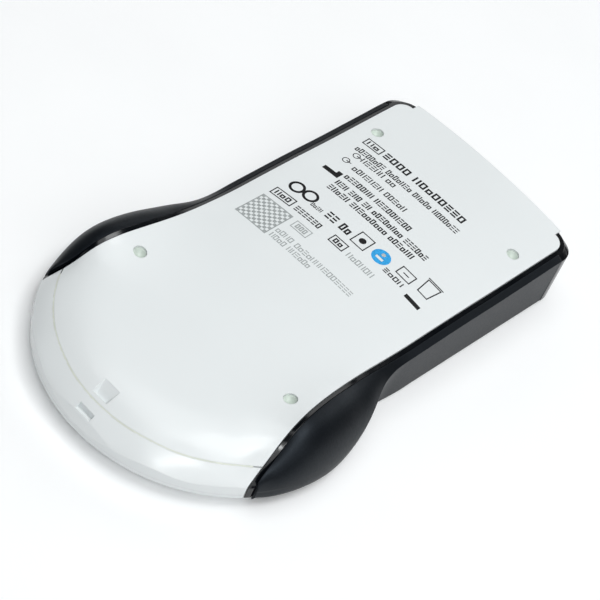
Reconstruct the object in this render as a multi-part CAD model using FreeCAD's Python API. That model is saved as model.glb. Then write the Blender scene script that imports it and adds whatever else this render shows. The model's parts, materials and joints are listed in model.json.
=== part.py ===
import FreeCAD, Part
import math
import os
from FreeCAD import Vector

# Hand-held two-channel nerve stimulator (tens unit), lying on its front with its back up.
# Millimetres. +Y runs from the round head to the narrow end, +Z from the front face to the
# back cover, and the origin is under the middle of the bounding box, on the resting plane.

# ---------------------------------------------------------------- outer shape
TOP_Z = 17.0              # highest point of the back cover
END_Y = 67.9              # middle of the narrow end
END_EDGE_Y = 67.1         # narrow end beside the corners
HEAD_Y = -28.2            # centre of the round head
HEAD_R = 39.2             # rim of the head
BODY_HALF = 30.75         # half width of the narrow part
SHOULDER_R = 20.0         # hollow curve between the head and the narrow part
CORNER_R = 5.2            # outer corners of the narrow end
BASE_Z = 0.4              # lower edge of the black sides and end
RIM_Z = 5.6               # height of the head's rim
RIM_BAND = 1.0            # upright edge of the head end cover under the rim
SKIRT = 0.9               # upright edge of the front shell and grips below that
WALL_DRAFT = 0.1          # the narrow part's side walls lean in by this much
BOWL_INSET = 6.0          # how far the head draws in below its rim
HEADNESS_Y = 6.0          # the sides change from flat to bulged from here
HEADNESS_RUN = 34.0       # over this length

# ---------------------------------------------------------------- back surface
GRID_STEP = 6.0           # spacing of the points that the surface goes through
GRID_COLUMNS = 7          # steps each side of the middle
GRID_ROWS = 12
SLOPE_TOP_Y = 14.0        # the back is level from here to the narrow end
SLOPE_FOOT_Y = -40.0      # and level again from here to the roll of the head
SLOPE_DROP = 3.4
ROLL_START = 26.2         # distance from the groove's centre where the roll begins
ROLL_R = 19.0             # radius of the roll
ROLL_LIMIT = 17.4         # the roll runs on as a straight slope past this distance
CROWN_POWER = 2.4         # fall towards the sides, listed from the narrow end: y, fall
CROWN = ((68.0, 0.9), (30.0, 1.9), (6.0, 2.5), (-12.0, 1.0), (-28.0, -0.3), (-44.0, 0.0))
LIP_POWER = 7.0           # the edge turns up beside the grips
LIP = ((-4.0, 0.0), (-21.0, 1.3), (-32.0, 1.4), (-43.0, 0.0))

# ---------------------------------------------------------------- white and black areas
WHITE_HALF = 28.0         # half width of the white cover in the narrow part
FLARE_Y = -5.0            # the white cover widens from here towards the head
FLARE_R = 178.0
OPEN_FOOT_Y = -72.0       # plan outlines of the white area run on past the head
LEDGE = 1.05              # gloss black ledge beside the white cover
LEDGE_STEP = 0.25         # the ledge lies this much below the cover
SEAM = 0.15               # gap between neighbouring covers
BEVEL_DROP = 0.8          # height of the bevel on the grips
BEVEL_GRADE = 0.5         # rise over run of the bevel at the narrow end
BEVEL_RISE = 3.0          # the end's bevel is drawn this high, then cut by the back surface
GRIP_GAP = 0.08           # gap between the ledge and the grips
GRIP_SECTIONS = 22
GRIP_TOP_ARC = 84.0       # turn of the bulged top and of the drawn-in wall, in degrees
GRIP_WALL_ARC = 78.0
GRIP_BAND = 0.4           # least upright edge below the crease
ARC_STEPS = 6
COVER_T = 2.0             # wall of the white covers
COVER_END_Y = 64.9        # edge of the white cover beside the black corners
COVER_CORNER_R = 3.3
TONGUE_HALF = 24.5        # the cover reaches the narrow end between these
GRIP_END_Y = 61.0         # the textured grips stop here
BOWL_FOOT_R = HEAD_R - BOWL_INSET - 0.8
GRIP_TIP_Y = -46.3
HEAD_COVER_T = 1.6        # rim wall of the head end cover
GROOVE_Y = -26.3          # centre of the groove round the head end
GROOVE_R = 36.9
SHELF = 2.0               # shelf of the frame under the cover's edge
SHELF_HALF = WHITE_HALF - SHELF
GASKET_T = 0.3
RAIL_Z = 4.8              # lower edge of the frame's rails
PLATE_T = 2.0             # front wall
PLATE_END_Y = 65.4
PLATE_CORNER_R = 4.4
RIB_T = 1.2               # rib of the front shell inside the frame's rails
RIB_GAP = 0.4
RIB_END_Y = 58.0

# ---------------------------------------------------------------- belt clip seat and slot
CLIP_HALF = 2.3
CLIP_FLOOR_HALF = 1.4
CLIP_DEEP_Y = -62.2
CLIP_SHALLOW_Y = -58.9
CLIP_FLOOR_Y = -61.9
CLIP_DEPTH = 1.6
SLOT_HALF = 2.25
SLOT_INNER_Y = -64.9
SLOT_OUTER_Y = -66.2
SLOT_DEPTH = 1.9

# ---------------------------------------------------------------- screws
BACK_WELLS = ((23.1, 49.7, 9.4), (24.4, -29.3, 7.4))   # x, y, height of the screw seat
WELL_R = 1.6
BOSS_R = 2.8
BOSS_FLOOR = 1.0
POST_R = 2.6              # the front shell's posts under the bosses
HEAD_SCREW_R = 1.45
HEAD_SCREW_H = 1.1
SCREW_R = 0.8
SCREW_LEN = 5.2
DRIVE_R = 0.75            # hexagonal drive
BOARD_SCREWS = ((-17.0, 53.2), (17.0, 53.2), (0.0, -55.0))
BOARD_SCREW_R = 0.68

# ---------------------------------------------------------------- board and display
BOARD_Z = 4.6
BOARD_T = 1.6
BOARD_HALF = 24.6
BOARD_R = 30.0
BOARD_END_Y = 61.0
WINDOW_Y = 28.0
WINDOW_HALF_X = 21.0
WINDOW_HALF_Y = 22.0
WINDOW_SINK = 0.25
WINDOW_T = 1.0
WINDOW_CORNER_R = 3.0
LAMP_Y = -0.5             # charge lamp between the window and the keys
PIPE_R = 0.8
GLASS_HALF_X = 19.5
GLASS_HALF_Y = 20.5
GLASS_T = 1.8
HOLE_HALF_X = 18.5
HOLE_HALF_Y = 19.0

# ---------------------------------------------------------------- keys: name, x, y, radius
KEYS = (
    ("key_power", 0.0, -13.5, 4.2),
    ("key_select", 0.0, -28.2, 5.4),
    ("key_program", 0.0, -42.9, 4.2),
    ("key_left_up", -16.5, -20.2, 4.8),
    ("key_left_down", -16.5, -36.2, 4.8),
    ("key_right_up", 16.5, -20.2, 4.8),
    ("key_right_down", 16.5, -36.2, 4.8),
)
KEY_SINK = 0.35           # the keys lie this much inside the resting plane
KEY_GAP = 0.2
KEY_FLANGE = 0.8
KEY_FLANGE_T = 0.7
KEY_TRAVEL = 0.4
STEM_GAP = 0.1            # a pressed key stops just short of its rigid dome
STEM_R = 1.4
DOME_R = 3.0
DOME_H = 0.6
SPACER_R = 22.6

# ---------------------------------------------------------------- inside and sockets
CELL = (45.0, 59.0, 5.4)
CELL_Y = 16.3
FOAM_T = 0.4
LEAD_RUN = 4.6            # distance from the cell to its connector
LEAD_R = 0.5
LEAD_GAP = 0.2
SOCKET_X = 14.0           # two electrode sockets
SOCKET_Z = 8.2
SOCKET_BORE_R = 2.75
SOCKET_BORE_LEN = 8.0
SOCKET_R = 4.0
CONTACT_R = 1.88
CONTACT_BORE_R = 1.2
SOCKET_SINK = 0.6         # the sockets end this far inside the narrow end
SOCKET_BACK = 2.0         # length of the socket behind its bore
DC_R = 3.5
DC_BORE_R = 1.85
DC_PIN_R = 0.6


def smooth(t):
    """Ease from 0 to 1."""
    t = min(max(t, 0.0), 1.0)
    return t * t * (3.0 - 2.0 * t)


def eased(stations, y):
    """Value at y between stations listed from the narrow end to the head."""
    if y >= stations[0][0]:
        return stations[0][1]
    for (y_high, high), (y_low, low) in zip(stations, stations[1:]):
        if y >= y_low:
            return low + (high - low) * smooth((y - y_low) / (y_high - y_low))
    return stations[-1][1]


def back_height(x, y):
    """Height of the back surface over a point of the plan."""
    slope = SLOPE_DROP * smooth((SLOPE_TOP_Y - y) / (SLOPE_TOP_Y - SLOPE_FOOT_Y))
    across = min(abs(x) / WHITE_HALF, 1.2)
    crown = eased(CROWN, y) * across ** CROWN_POWER - eased(LIP, y) * across ** LIP_POWER
    over = math.hypot(x, min(y - GROOVE_Y, 0.0)) - ROLL_START
    run = min(max(over, 0.0), ROLL_LIMIT)
    roll = ROLL_R - math.sqrt(ROLL_R ** 2 - run ** 2)
    if over > ROLL_LIMIT:
        roll += (over - ROLL_LIMIT) * ROLL_LIMIT / math.sqrt(ROLL_R ** 2 - ROLL_LIMIT ** 2)
    return TOP_Z - slope - crown - roll


def white_half(y):
    """Half width of the white cover."""
    if y >= FLARE_Y:
        return WHITE_HALF
    return WHITE_HALF + FLARE_R - math.sqrt(FLARE_R ** 2 - (FLARE_Y - y) ** 2)


def shoulder_centre():
    """Centre of the hollow shoulder curve, which touches the side and the head."""
    x = BODY_HALF + SHOULDER_R
    y = HEAD_Y + math.sqrt((HEAD_R + SHOULDER_R) ** 2 - x ** 2)
    return x, y


def outline_half(y):
    """Half width of the whole body at the rim."""
    cx, cy = shoulder_centre()
    if y >= cy:
        return BODY_HALF
    touch_y = HEAD_Y + (cy - HEAD_Y) * HEAD_R / (HEAD_R + SHOULDER_R)
    if y >= touch_y:
        return cx - math.sqrt(SHOULDER_R ** 2 - (cy - y) ** 2)
    return math.sqrt(max(HEAD_R ** 2 - (y - HEAD_Y) ** 2, 0.0))


def headness(y):
    """0 in the narrow part, 1 in the head."""
    return smooth((HEADNESS_Y - y) / HEADNESS_RUN)


def ledge_height(y):
    """Height of the ledge's outer edge."""
    return back_height(white_half(y) + LEDGE, y) - LEDGE_STEP


def rim_height(y):
    """Height of the crease on the sides, which becomes the rim of the head."""
    crease = ledge_height(y) - BEVEL_DROP
    rim = min(RIM_Z, ledge_height(y) - 0.1)
    return crease + (rim - crease) * headness(y)


# ---------------------------------------------------------------- plan shapes
def line(a, b):
    return Part.makeLine(Vector(a[0], a[1], 0), Vector(b[0], b[1], 0))


def arc(a, middle, b):
    points = [Vector(p[0], p[1], 0) for p in (a, middle, b)]
    return Part.Arc(*points).toShape()


def prism(edges, low, high):
    """Upright solid over a closed plan outline."""
    face = Part.Face(Part.Wire(edges))
    face.translate(Vector(0, 0, low))
    return face.extrude(Vector(0, 0, high - low))


def disc(x, y, r, low, high):
    return Part.makeCylinder(r, high - low, Vector(x, y, low))


def block(x0, x1, y0, y1, z0, z1):
    return Part.makeBox(x1 - x0, y1 - y0, z1 - z0, Vector(x0, y0, z0))


def rounded_block(x0, x1, y0, y1, z0, z1, r):
    solid = block(x0, x1, y0, y1, z0, z1)
    upright = [e for e in solid.Edges if abs(e.Vertexes[0].Z - e.Vertexes[1].Z) > (z1 - z0) / 2]
    return solid.makeFillet(r, upright)


def flare_x(out, y):
    """Right side line of the white cover, moved outwards."""
    if y >= FLARE_Y:
        return WHITE_HALF + out
    return WHITE_HALF + FLARE_R - math.sqrt((FLARE_R - out) ** 2 - (FLARE_Y - y) ** 2)


def flare_arc(out, foot_y, side):
    middle_y = (FLARE_Y + foot_y) / 2
    return arc((side * flare_x(out, FLARE_Y), FLARE_Y), (side * flare_x(out, middle_y), middle_y),
               (side * flare_x(out, foot_y), foot_y))


def core_prism(out, top_y, low, high, corner=0.0):
    """The white area widened by out, cut off at top_y and left open-ended at the head."""
    foot_y = OPEN_FOOT_Y
    half = WHITE_HALF + out
    foot = flare_x(out, foot_y)
    edges = [flare_arc(out, foot_y, 1), line((foot, foot_y), (-foot, foot_y)), flare_arc(out, foot_y, -1)]
    if corner:
        cut = corner * (1 - math.sqrt(0.5))
        low_y = top_y - corner
        edges.append(line((-half, FLARE_Y), (-half, low_y)))
        edges.append(arc((-half, low_y), (-half + cut, top_y - cut), (-half + corner, top_y)))
        edges.append(line((-half + corner, top_y), (half - corner, top_y)))
        edges.append(arc((half - corner, top_y), (half - cut, top_y - cut), (half, low_y)))
        edges.append(line((half, low_y), (half, FLARE_Y)))
    else:
        edges.append(line((-half, FLARE_Y), (-half, top_y)))
        edges.append(line((-half, top_y), (half, top_y)))
        edges.append(line((half, top_y), (half, FLARE_Y)))
    return prism(Part.__sortEdges__(edges), low, high)


def end_prism(half, inset, foot_y, low, high, corner):
    """Narrow end of the body: straight sides, round corners and a slightly bowed end."""
    side_y = END_EDGE_Y - inset
    cut = corner * (1 - math.sqrt(0.5))
    edges = [
        line((-half, foot_y), (half, foot_y)),
        line((half, foot_y), (half, side_y - corner)),
        arc((half, side_y - corner), (half - cut, side_y - cut), (half - corner, side_y)),
        arc((half - corner, side_y), (0, END_Y - inset), (corner - half, side_y)),
        arc((corner - half, side_y), (cut - half, side_y - cut), (-half, side_y - corner)),
        line((-half, side_y - corner), (-half, foot_y)),
    ]
    return prism(edges, low, high)


# ---------------------------------------------------------------- space under the back
def back_surface():
    """The back as one smooth surface, wider than the body."""
    grid = []
    for i in range(-GRID_COLUMNS, GRID_COLUMNS + 1):
        x = i * GRID_STEP
        rows = [j * GRID_STEP for j in range(-GRID_ROWS, GRID_ROWS + 1)]
        grid.append([Vector(x, y, back_height(x, y)) for y in rows])
    surface = Part.BSplineSurface()
    surface.interpolate(grid)
    return surface.toShape()


BACK_FACE = back_surface()


def layer(top, bottom):
    """Everything between two depths below the back surface."""
    face = BACK_FACE.copy()
    face.translate(Vector(0, 0, -top))
    return face.extrude(Vector(0, 0, top - bottom))


def under(depth):
    return layer(depth, depth + 60.0)


# ---------------------------------------------------------------- white covers
def cover_plan(out, low, high):
    """Plan of the back cover between the narrow end and the groove."""
    body = core_prism(out, COVER_END_Y + out, low, high, COVER_CORNER_R + out)
    groove = disc(0, GROOVE_Y, GROOVE_R - SEAM + out, low, high)
    upper = block(-50, 50, GROOVE_Y, 80, low, high)
    return body.common(groove.fuse(upper))


def tongue(inset, low, high):
    half = TONGUE_HALF - inset
    edge_y = END_EDGE_Y - 0.1 - inset
    edges = [
        line((-half, 50), (half, 50)),
        line((half, 50), (half, edge_y)),
        arc((half, edge_y), (0, END_Y - inset), (-half, edge_y)),
        line((-half, edge_y), (-half, 50)),
    ]
    return prism(edges, low, high)


def clip_recess():
    """Sloping seat for a belt clip: shallow towards the narrow end, deep towards the head."""
    rim = ((-CLIP_HALF, CLIP_DEEP_Y), (CLIP_HALF, CLIP_DEEP_Y),
           (CLIP_HALF, CLIP_SHALLOW_Y), (-CLIP_HALF, CLIP_SHALLOW_Y))
    a, b, c, d = [Vector(x, y, back_height(0, y)) for x, y in rim]
    floor_z = back_height(0, CLIP_FLOOR_Y) - CLIP_DEPTH
    left = Vector(-CLIP_FLOOR_HALF, CLIP_FLOOR_Y, floor_z)
    right = Vector(CLIP_FLOOR_HALF, CLIP_FLOOR_Y, floor_z)
    faces = [(a, b, c), (a, c, d), (a, left, right), (a, right, b), (b, right, c), (c, right, left),
             (c, left, d), (d, left, a)]
    shell = Part.Shell([Part.Face(Part.makePolygon([p, q, r, p])) for p, q, r in faces])
    mouth = Part.Face(Part.makePolygon([a, b, c, d, a])).extrude(Vector(0, 0, COVER_T))
    return Part.Solid(shell).fuse(mouth)


def clip_slot():
    """Slot for the clip's hook: a ramp from the rim side, and an upright inner wall."""
    z_inner = back_height(0, SLOT_INNER_Y)
    z_outer = back_height(0, SLOT_OUTER_Y)
    profile = [
        Vector(-SLOT_HALF, SLOT_OUTER_Y, z_outer),
        Vector(-SLOT_HALF, SLOT_INNER_Y, z_inner - SLOT_DEPTH),
        Vector(-SLOT_HALF, SLOT_INNER_Y, z_inner + 1.0),
        Vector(-SLOT_HALF, SLOT_OUTER_Y, z_outer + 2.0),
    ]
    face = Part.Face(Part.makePolygon(profile + [profile[0]]))
    return face.extrude(Vector(2 * SLOT_HALF, 0, 0))


def well_points():
    """The four screw places: x, y and the height of the screw's seat."""
    return [(side * x, y, seat) for x, y, seat in BACK_WELLS for side in (-1, 1)]


def back_cover():
    plate = cover_plan(-SEAM / 2, 0, 30).fuse(tongue(0, 0, 30)).common(layer(0, COVER_T))
    for x, y, seat in well_points():
        post = disc(x, y, BOSS_R, seat - BOSS_FLOOR, 20).common(under(0.6))
        plate = plate.fuse(post)
    for x, y, seat in well_points():
        plate = plate.cut(disc(x, y, WELL_R, seat, 30))
        plate = plate.cut(disc(x, y, SCREW_R + 0.15, seat - 5, seat + 1))
    return plate.cut(clip_recess())


def head_sector(inner_r, outer_r, low, high, out):
    """Part of the head outside the groove, between the side lines of the white area."""
    ring = disc(0, HEAD_Y, outer_r, low, high).cut(disc(0, GROOVE_Y, inner_r, low - 1, high + 1))
    lower = block(-60, 60, -90, GROOVE_Y, low, high)
    return ring.common(core_prism(out, 0, low, high)).common(lower)


def head_end_cover():
    shell = head_sector(GROOVE_R, HEAD_R, RIM_Z - RIM_BAND, 20, -SEAM / 2).common(under(0))
    hollow = head_sector(GROOVE_R + 0.9, HEAD_R - HEAD_COVER_T, 0, 20, -1.4).common(under(COVER_T))
    shelf = head_sector(GROOVE_R - 2.4, HEAD_R - HEAD_COVER_T - 0.4, 0, 20, -SHELF - 0.6)
    shelf = shelf.common(layer(COVER_T + 0.1, COVER_T + 1.3))
    return shell.cut(hollow).fuse(shelf).cut(clip_slot())


# ---------------------------------------------------------------- black frame and grips
def open_head(r, low, high):
    """Everything within r of the groove's centre, and everything towards the narrow end."""
    return disc(0, GROOVE_Y, r, low, high).fuse(block(-60, 60, GROOVE_Y, 80, low, high))


def bowl_ring():
    """Drawn-in wall round the head end, from under the rim down to the front face."""
    z_top = RIM_Z - RIM_BAND - 0.1
    z_skirt = z_top - SKIRT
    outer_r = HEAD_R - 0.1
    foot_r = BOWL_FOOT_R
    bend = Vector((outer_r + foot_r) / 2 + 0.9, 0, z_skirt * 0.4)
    points = [
        Vector(foot_r, 0, 0),
        Vector(foot_r - 3.7, 0, 0),
        Vector(foot_r - 3.7, 0, PLATE_T),
        Vector(foot_r - 0.4, 0, PLATE_T),
        Vector(outer_r - HEAD_COVER_T - 0.3, 0, z_top),
        Vector(outer_r, 0, z_top),
        Vector(outer_r, 0, z_skirt),
    ]
    profile = [Part.Arc(points[-1], bend, points[0]).toShape()]
    profile += [Part.makeLine(a, b) for a, b in zip(points, points[1:])]
    ring = Part.Face(Part.Wire(profile)).revolve(Vector(0, 0, 0), Vector(0, 0, 1), 360)
    ring.translate(Vector(0, HEAD_Y, 0))
    return ring.common(block(-60, 60, -90, HEAD_Y, -1, 20))


def rail_tips():
    """The ledge's tips, which run on down the wall of the head between the shell and the grips."""
    beside = core_prism(LEDGE, 0, -1, RAIL_Z + 0.1).cut(core_prism(SEAM / 2, 1, -2, 20))
    low = RIM_Z - RIM_BAND - 0.2
    band = disc(0, HEAD_Y, HEAD_R - 0.1, low, RAIL_Z + 0.1)
    band = band.cut(disc(0, HEAD_Y, HEAD_R - HEAD_COVER_T - 0.4, low - 1, 20))
    band = band.common(block(-60, 60, -90, HEAD_Y, -1, 20))
    tips = bowl_ring().fuse(band).common(beside)
    return tips.cut(disc(0, HEAD_Y, BOWL_FOOT_R + 0.1, -1, PLATE_T + 0.1))


def frame_rails():
    """Gloss ledge beside the white cover, with a shelf under the cover's edge."""
    top_y = GRIP_END_Y + 1.0
    body = core_prism(LEDGE, top_y, RAIL_Z, 30)
    rim = disc(0, HEAD_Y, HEAD_R - 0.1, RAIL_Z, 30).fuse(block(-60, 60, HEAD_Y, 80, RAIL_Z, 30))
    ledge = body.cut(core_prism(SEAM / 2, top_y + 1, RAIL_Z - 1, 31)).common(under(LEDGE_STEP))
    shelf = body.cut(core_prism(-SHELF, top_y, RAIL_Z - 1, 31)).common(under(COVER_T + GASKET_T))
    rails = ledge.common(rim).fuse(shelf.common(open_head(GROOVE_R - 0.4, RAIL_Z - 1, 31)))
    return rails.fuse(rail_tips())


def end_bevel():
    """Body of the narrow end: upright up to the crease, and bevelled above it."""
    crease = ledge_height(GRIP_END_Y) - BEVEL_DROP
    upright = end_prism(BODY_HALF, 0, 40, BASE_Z, crease, CORNER_R)
    wires = []
    for move, z in ((0.0, crease), (BEVEL_RISE / BEVEL_GRADE, crease + BEVEL_RISE)):
        solid = end_prism(BODY_HALF - move, move * 0.25, 40, z, z + 1, CORNER_R - move * 0.5)
        bottom = min(solid.Faces, key=lambda f: f.CenterOfMass.z)
        wires.append(bottom.OuterWire)
    return upright.fuse(Part.makeLoft(wires, True, True))


def housing_frame():
    outer = end_bevel().common(block(-40, 40, GRIP_END_Y, 80, BASE_Z, 30)).common(under(LEDGE_STEP))
    seat = core_prism(SEAM / 2, COVER_END_Y + SEAM / 2, 0, 40, COVER_CORNER_R)
    seat = seat.fuse(tongue(-SEAM / 2, 0, 40))
    outer = outer.cut(seat.common(layer(-1, COVER_T + GASKET_T)))
    inside = rounded_block(-SHELF_HALF, SHELF_HALF, 40, PLATE_END_Y - 0.1, -1, 40, 3.0)
    frame = frame_rails().fuse(outer.cut(inside.common(under(COVER_T + GASKET_T))))
    front_seat = block(-40, 40, 40, PLATE_END_Y + 0.1, 0, PLATE_T + 0.1)
    frame = frame.cut(front_seat.common(core_prism(LEDGE, 70, -1, 9)))
    for x in (-SOCKET_X, SOCKET_X):
        frame = frame.cut(bore_y(x, SOCKET_Z, SOCKET_R + 0.02, 50, 80))
    return frame.cut(bore_y(0, SOCKET_Z, DC_R + 0.02, 50, 80))


def bore_y(x, z, r, y0, y1):
    return Part.makeCylinder(r, y1 - y0, Vector(x, y0, z), Vector(0, 1, 0))


def arc_share(v, turn, head):
    """How far a side has gone across and down at v, from straight (head 0) to an arc (head 1)."""
    full = math.radians(turn)
    across = math.sin(full * v) / math.sin(full)
    down = (1 - math.cos(full * v)) / (1 - math.cos(full))
    return v + (across - v) * head, v + (down - v) * head


def grip_section(y, side):
    """Cross-section of a grip: bulged top, rim or crease, wall and flat base."""
    head = headness(y)
    x0 = white_half(y) + LEDGE + GRIP_GAP
    z0 = ledge_height(y)
    x1 = max(outline_half(y), x0 + 0.5)
    z1 = rim_height(y)
    top = []
    for k in range(ARC_STEPS + 1):
        across, down = arc_share(k / ARC_STEPS, GRIP_TOP_ARC, head)
        top.append(Vector(side * (x0 + (x1 - x0) * across), y, z0 - (z0 - z1) * down))
    inset = WALL_DRAFT + (BOWL_INSET - WALL_DRAFT) * head
    room = (x1 - x0 - 0.3) / inset
    reach = 1.0
    if room < 1.0:
        drawn = (1 - math.cos(math.radians(GRIP_WALL_ARC))) * room
        reach = math.degrees(math.acos(1 - drawn)) / GRIP_WALL_ARC
    band_z = z1 - GRIP_BAND - (RIM_BAND + SKIRT - GRIP_BAND) * head
    wall = [Vector(side * x1, y, z1)]
    for k in range(ARC_STEPS):
        down, inwards = arc_share(reach * k / (ARC_STEPS - 1), GRIP_WALL_ARC, head)
        wall.append(Vector(side * (x1 - inset * inwards), y, band_z - (band_z - BASE_Z) * down))
    return top, wall, Vector(side * x0, y, wall[-1].z)


def spline(points):
    curve = Part.BSplineCurve()
    curve.interpolate(points)
    return curve.toShape()


def grip(side):
    """Satin side grip: spindle-shaped at the head, a bevelled rail along the narrow part."""
    sections = []
    length = GRIP_END_Y - 0.05 - GRIP_TIP_Y
    for k in range(GRIP_SECTIONS):
        t = k / (GRIP_SECTIONS - 1)
        y = GRIP_TIP_Y + length * (0.65 * t + 0.35 * t * t)
        top, wall, foot = grip_section(y, side)
        edges = [spline(top), spline(wall), Part.makeLine(wall[-1], foot), Part.makeLine(foot, top[0])]
        sections.append(Part.Wire(edges))
    return Part.makeLoft(sections, True, False)


# ---------------------------------------------------------------- front
def head_bowl():
    """Wall of the front shell round the head end, between the frame's tips."""
    return bowl_ring().common(core_prism(-SEAM / 2, 0, -1, 20))


def shell_rib():
    """Rib of the front shell just inside the frame's rails, low where it passes under the sockets."""
    outer = core_prism(-SHELF - RIB_GAP, RIB_END_Y, PLATE_T - 0.2, RAIL_Z + RIB_GAP)
    rib = outer.cut(core_prism(-SHELF - RIB_GAP - RIB_T, RIB_END_Y - RIB_T, 0, 20))
    rib = rib.common(disc(0, HEAD_Y, 32, 0, 20).fuse(block(-50, 50, HEAD_Y, 80, 0, 20)))
    end = block(-BOARD_HALF - 0.2, BOARD_HALF + 0.2, RIB_END_Y - 4, RIB_END_Y + 1,
                SOCKET_Z - SOCKET_R - 0.2, 20)
    return rib.cut(end)


def front_shell():
    plate = core_prism(LEDGE - 0.05, PLATE_END_Y, 0, PLATE_T, PLATE_CORNER_R)
    head = disc(0, HEAD_Y, BOWL_FOOT_R, 0, PLATE_T).fuse(block(-50, 50, HEAD_Y, 80, 0, PLATE_T))
    shell = plate.common(head).fuse(head_bowl()).fuse(shell_rib())
    for x, y, seat in well_points():
        shell = shell.fuse(disc(x, y, POST_R, PLATE_T - 0.2, seat - BOSS_FLOOR))
    for x, y in BOARD_SCREWS:
        shell = shell.fuse(disc(x, y, 2.2, PLATE_T - 0.2, BOARD_Z))
    for x, y, seat in well_points():
        shell = shell.cut(disc(x, y, SCREW_R, seat - SCREW_LEN - 0.4, seat))
    for x, y in BOARD_SCREWS:
        shell = shell.cut(disc(x, y, BOARD_SCREW_R + 0.02, 1.0, BOARD_Z + 1))
    for name, x, y, r in KEYS:
        shell = shell.cut(disc(x, y, r + KEY_GAP, -1, PLATE_T + 1))
    half_x = WINDOW_HALF_X + 0.1
    half_y = WINDOW_HALF_Y + 0.1
    recess = rounded_block(-half_x, half_x, WINDOW_Y - half_y, WINDOW_Y + half_y, -1,
                           WINDOW_SINK + WINDOW_T, WINDOW_CORNER_R + 0.1)
    hole = rounded_block(-HOLE_HALF_X, HOLE_HALF_X, WINDOW_Y - HOLE_HALF_Y, WINDOW_Y + HOLE_HALF_Y,
                         -1, 5, 1.5)
    return shell.cut(recess).cut(hole).cut(disc(0, LAMP_Y, PIPE_R + 0.05, -1, 5))


def display_window():
    return rounded_block(-WINDOW_HALF_X, WINDOW_HALF_X, WINDOW_Y - WINDOW_HALF_Y, WINDOW_Y + WINDOW_HALF_Y,
                         WINDOW_SINK, WINDOW_SINK + WINDOW_T, WINDOW_CORNER_R)


def lcd_glass():
    lower = block(-GLASS_HALF_X, GLASS_HALF_X, WINDOW_Y - GLASS_HALF_Y, WINDOW_Y + GLASS_HALF_Y,
                  PLATE_T + 0.05, PLATE_T + GLASS_T / 2)
    upper = block(-GLASS_HALF_X, GLASS_HALF_X, WINDOW_Y - GLASS_HALF_Y + 2, WINDOW_Y + GLASS_HALF_Y,
                  PLATE_T + GLASS_T / 2, PLATE_T + GLASS_T)
    return lower.fuse(upper).removeSplitter()


def lcd_holder():
    """Light guide and frame behind the glass."""
    outer = block(-GLASS_HALF_X - 0.9, GLASS_HALF_X + 0.9, WINDOW_Y - GLASS_HALF_Y + 2.4,
                  WINDOW_Y + GLASS_HALF_Y + 0.9, PLATE_T + 0.1, BOARD_Z - 0.02)
    pocket = block(-GLASS_HALF_X - 0.1, GLASS_HALF_X + 0.1, WINDOW_Y - GLASS_HALF_Y - 5,
                   WINDOW_Y + GLASS_HALF_Y + 0.1, 0, PLATE_T + GLASS_T + 0.05)
    return outer.cut(pocket)


def lcd_connector():
    """Rubber contact strip between the glass and the board."""
    y0 = WINDOW_Y - GLASS_HALF_Y
    return block(-16, 16, y0 + 0.3, y0 + 1.8, PLATE_T + GLASS_T / 2 + 0.02, BOARD_Z - 0.02)


def key(x, y, r):
    """Round key cap with a retaining flange and a stem over its switch."""
    cap = disc(x, y, r, KEY_SINK, PLATE_T + 0.3)
    face_edges = [e for e in cap.Edges if abs(e.BoundBox.ZMax - KEY_SINK) < 1e-6 and e.BoundBox.XLength > r]
    cap = cap.makeFillet(0.4, face_edges)
    flange = disc(x, y, r + KEY_FLANGE, PLATE_T + 0.1, PLATE_T + 0.1 + KEY_FLANGE_T)
    stem_top = BOARD_Z - DOME_H - KEY_TRAVEL - STEM_GAP
    stem = disc(x, y, STEM_R, PLATE_T, stem_top)
    return cap.fuse(flange).fuse(stem).removeSplitter()


def dome(x, y):
    """Snap dome of a key switch."""
    crown = Vector(0, 0, -DOME_H)
    rim = Vector(DOME_R, 0, 0)
    centre = Vector(0, 0, 0)
    rise = Part.Arc(crown, Vector(DOME_R * 0.62, 0, -DOME_H * 0.72), rim).toShape()
    edges = [rise, Part.makeLine(rim, centre), Part.makeLine(centre, crown)]
    solid = Part.Face(Part.Wire(edges)).revolve(Vector(0, 0, 0), Vector(0, 0, 1), 360)
    solid.translate(Vector(x, y, BOARD_Z))
    return solid


def dome_spacer():
    """Thin sheet on the board with a window round each dome."""
    sheet = disc(0, HEAD_Y, SPACER_R, BOARD_Z - 0.5, BOARD_Z)
    for name, x, y, r in KEYS:
        sheet = sheet.cut(disc(x, y, DOME_R + 0.4, 0, 10))
    for x, y, seat in well_points():
        sheet = sheet.cut(disc(x, y, POST_R + 0.3, 0, 10))
    return sheet


# ---------------------------------------------------------------- board and its parts
def main_board():
    plan = disc(0, HEAD_Y, BOARD_R, BOARD_Z, BOARD_Z + BOARD_T)
    narrow = rounded_block(-BOARD_HALF, BOARD_HALF, HEAD_Y, BOARD_END_Y, BOARD_Z, BOARD_Z + BOARD_T, 2.0)
    plan = plan.fuse(narrow)
    plan = plan.common(core_prism(-SHELF - 1.8, 80, 0, 30)).removeSplitter()
    for x, y, seat in well_points():
        plan = plan.cut(disc(x, y, BOSS_R + 0.5, 0, 30))
    for x, y in BOARD_SCREWS:
        plan = plan.cut(disc(x, y, 1.1, 0, 30))
    notch = SOCKET_R + 0.15
    for x in (-SOCKET_X, SOCKET_X):
        plan = plan.cut(block(x - notch, x + notch, socket_back_y() - 0.2, BOARD_END_Y + 1, 0, 30))
    return plan


def board_parts(boxes):
    """Flat parts on the back of the board: x, y, width, length, height."""
    top = BOARD_Z + BOARD_T
    return [block(x - w / 2, x + w / 2, y - d / 2, y + d / 2, top, top + h) for x, y, w, d, h in boxes]


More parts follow.
